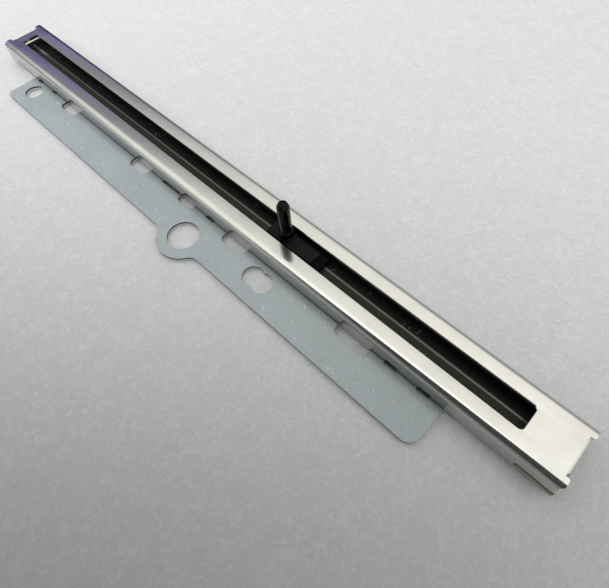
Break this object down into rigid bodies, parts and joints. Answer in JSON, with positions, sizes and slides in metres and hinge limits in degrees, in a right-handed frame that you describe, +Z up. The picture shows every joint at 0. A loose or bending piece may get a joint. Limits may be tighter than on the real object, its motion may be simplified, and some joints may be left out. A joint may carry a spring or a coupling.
{
  "type": "slide potentiometer",
  "caption": "Slim linear slide potentiometer: long slotted plated-steel channel, black lever pin on an inner carriage, resistive board below and a flat side mounting bracket.",
  "frame": {"origin": "bottom centre of the bounding box, on the bracket's underside", "axes": "+X along the lever's travel towards the end with the longer margin, +Y away from the bracket's screw flange, +Z up along the lever pin"},
  "size_m": [0.1148, 0.0182, 0.0099],
  "materials": {
    "plated_steel": "bright plating, soft gloss",
    "zinc_steel": "zinc coat, fine speckle",
    "phenolic": "satin",
    "carbon_film": "satin",
    "silver_film": "satin",
    "tinned_brass": "satin",
    "rubber": "matte",
    "carriage_plastic": "matte",
    "lever_black": "gloss",
    "bronze": "satin",
    "spring_steel": "satin"
  },
  "bodies": {
    "housing": {"top_cover": "plated_steel", "mounting_bracket": "zinc_steel", "element_board": "phenolic", "resistive_track": "carbon_film", "far_electrode": "silver_film", "near_electrode": "silver_film", "collector_track": "silver_film", "collector_pad": "silver_film", "start_terminal": "tinned_brass", "end_terminal": "tinned_brass", "wiper_terminal": "tinned_brass", "terminal_rivets": "tinned_brass", "far_cushions": "rubber", "near_cushions": "rubber"},
    "slider": {"carriage": "carriage_plastic", "lever_pin": "lever_black", "wiper_spring": "bronze", "wiper_contacts": "silver_film", "wiper_pins": "carriage_plastic", "side_spring": "spring_steel"}
  },
  "joints": [
    {"name": "lever_slide", "type": "slide", "parent": "housing", "child": "slider", "axis": [1, 0, 0], "range_m": [-0.06655, 0.03345]}
  ]
}
